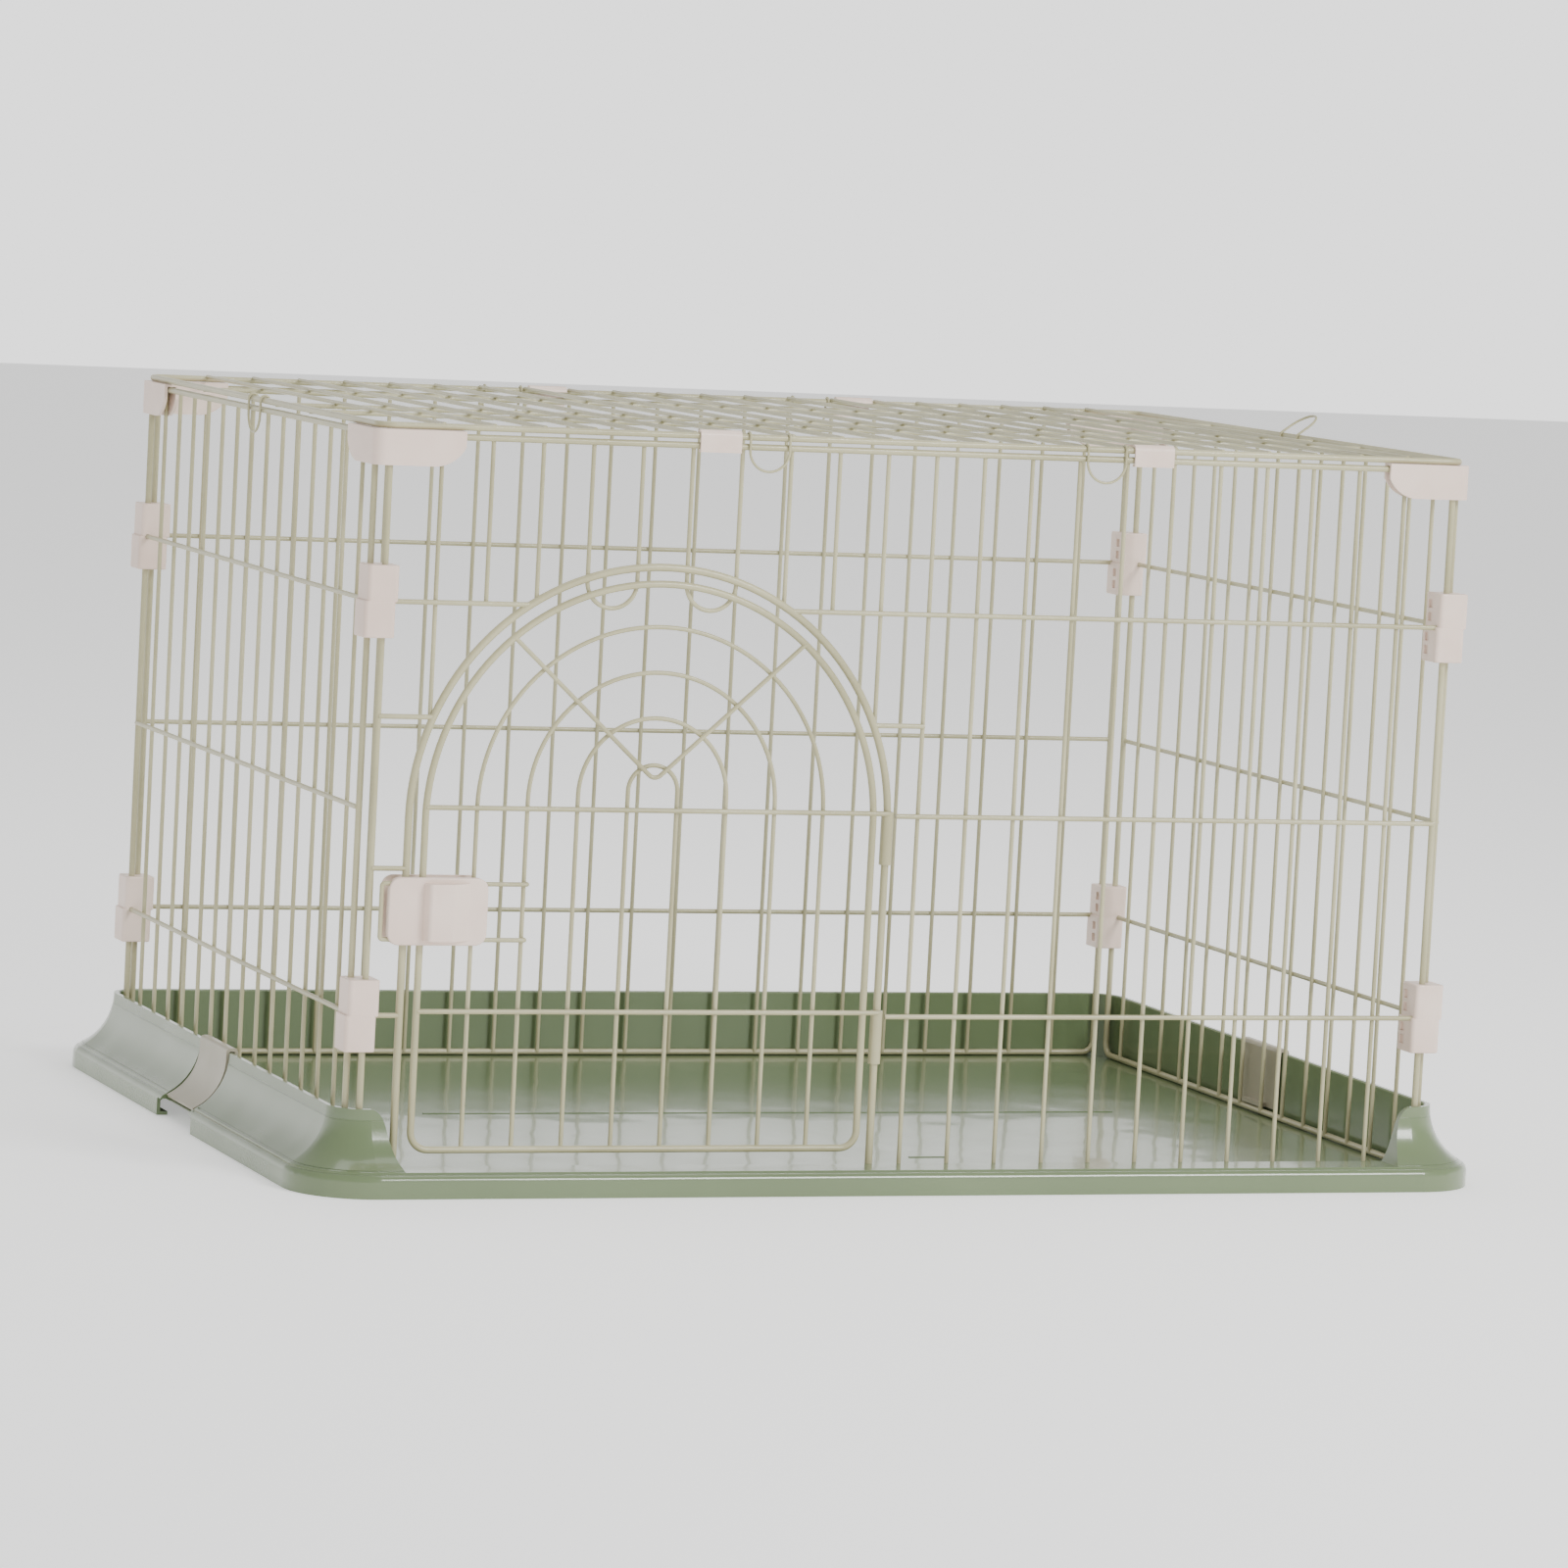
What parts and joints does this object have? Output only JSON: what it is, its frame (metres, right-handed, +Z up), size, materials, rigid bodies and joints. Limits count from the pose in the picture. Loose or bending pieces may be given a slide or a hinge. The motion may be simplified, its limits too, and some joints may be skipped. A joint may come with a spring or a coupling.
{
  "type": "wire rabbit cage",
  "caption": "Welded wire cage for a rabbit in a moulded base tray, with an arched swinging door, a sliding latch and a lift-up wire roof.",
  "frame": {"origin": "middle of the tray's underside", "axes": "+X along the longest side, +Z up, the door is in the -Y side"},
  "size_m": [0.864, 0.635, 0.5231],
  "materials": {
    "tray_plastic": "sage green moulded plastic, glossy",
    "lock_plastic": "beige moulded plastic, satin",
    "cap_plastic": "pale pink-cream moulded plastic, satin",
    "clip_plastic": "pale pink-cream moulded plastic, satin",
    "latch_plastic": "pale pink-cream moulded plastic, satin",
    "panel_wire": "steel wire with a cream powder coat",
    "door_wire": "steel wire with a cream powder coat",
    "hook_wire": "spring wire with a cream powder coat"
  },
  "bodies": {
    "tray": {"base_tray": "tray_plastic"},
    "lock_left": {"tray_lock_left": "lock_plastic"},
    "lock_right": {"tray_lock_right": "lock_plastic"},
    "cage": {"front_frame": "panel_wire", "door_opening_arch": "panel_wire", "front_wires_right": "panel_wire", "front_wires_top_left": "panel_wire", "front_wires_top_right": "panel_wire", "front_stop_loops": "panel_wire", "front_stub_wires": "panel_wire", "back_panel": "panel_wire", "left_panel": "panel_wire", "right_panel": "panel_wire", "corner_cap_front_left": "cap_plastic", "corner_cap_front_right": "cap_plastic", "corner_cap_back_left": "cap_plastic", "corner_cap_back_right": "cap_plastic", "corner_clip_front_left_lower": "clip_plastic", "corner_clip_front_left_upper": "clip_plastic", "corner_clip_front_right_lower": "clip_plastic", "corner_clip_front_right_upper": "clip_plastic", "corner_clip_back_left_lower": "clip_plastic", "corner_clip_back_left_upper": "clip_plastic", "corner_clip_back_right_lower": "clip_plastic", "corner_clip_back_right_upper": "clip_plastic", "roof_clip_back_left": "clip_plastic", "roof_clip_back_right": "clip_plastic"},
    "door": {"door": "door_wire", "latch_guide": "door_wire"},
    "latch": {"latch_slider": "latch_plastic", "latch_keeper": "latch_plastic"},
    "roof": {"roof_panel": "panel_wire"},
    "hook_front_left": {"roof_hook_front_left": "hook_wire"},
    "hook_front_right": {"roof_hook_front_right": "hook_wire"},
    "hook_back_left": {"roof_hook_back_left": "hook_wire"},
    "hook_back_right": {"roof_hook_back_right": "hook_wire"},
    "hook_left_side": {"roof_hook_left_side": "hook_wire"},
    "hook_right_side": {"roof_hook_right_side": "hook_wire"},
    "clip_front_left": {"roof_clip_front_left": "clip_plastic"},
    "clip_front_right": {"roof_clip_front_right": "clip_plastic"}
  },
  "joints": [
    {"name": "cage_lift", "type": "slide", "parent": "tray", "child": "cage", "axis": [0, 0, 1], "range_m": [0, 0.07]},
    {"name": "lock_left_slide", "type": "slide", "parent": "tray", "child": "lock_left", "axis": [0, 0, 1], "range_m": [0, 0.075]},
    {"name": "lock_right_slide", "type": "slide", "parent": "tray", "child": "lock_right", "axis": [0, 0, 1], "range_m": [0, 0.075]},
    {"name": "door_swing", "type": "hinge", "parent": "cage", "child": "door", "pos_m": [-0.023, -0.2826, 0.15], "axis": [0, 0, 1], "range_deg": [0, 105]},
    {"name": "latch_slide", "type": "slide", "parent": "door", "child": "latch", "axis": [1, 0, 0], "range_m": [0, 0.022]},
    {"name": "roof_lift", "type": "hinge", "parent": "cage", "child": "roof", "pos_m": [0, 0.282, 0.5067], "axis": [-1, 0, 0], "range_deg": [0, 110]},
    {"name": "hook_front_left_turn", "type": "hinge", "parent": "roof", "child": "hook_front_left", "pos_m": [-0.1225, -0.282, 0.5067], "axis": [-1, 0, 0], "range_deg": [0, 125]},
    {"name": "hook_front_right_turn", "type": "hinge", "parent": "roof", "child": "hook_front_right", "pos_m": [0.1225, -0.282, 0.5067], "axis": [-1, 0, 0], "range_deg": [0, 125]},
    {"name": "hook_back_left_turn", "type": "hinge", "parent": "cage", "child": "hook_back_left", "pos_m": [-0.1225, 0.282, 0.5067], "axis": [1, 0, 0], "range_deg": [0, 125]},
    {"name": "hook_back_right_turn", "type": "hinge", "parent": "cage", "child": "hook_back_right", "pos_m": [0.1225, 0.282, 0.5067], "axis": [1, 0, 0], "range_deg": [0, 125]},
    {"name": "hook_left_side_turn", "type": "hinge", "parent": "roof", "child": "hook_left_side", "pos_m": [-0.3934, 0, 0.5067], "axis": [0, 1, 0], "range_deg": [0, 125]},
    {"name": "hook_right_side_turn", "type": "hinge", "parent": "roof", "child": "hook_right_side", "pos_m": [0.3934, 0, 0.5067], "axis": [0, -1, 0], "range_deg": [-125, 0]},
    {"name": "clip_front_left_turn", "type": "hinge", "parent": "roof", "child": "clip_front_left", "pos_m": [-0.1575, -0.282, 0.5067], "axis": [-1, 0, 0], "range_deg": [0, 90]},
    {"name": "clip_front_right_turn", "type": "hinge", "parent": "roof", "child": "clip_front_right", "pos_m": [0.1575, -0.282, 0.5067], "axis": [-1, 0, 0], "range_deg": [0, 90]}
  ]
}
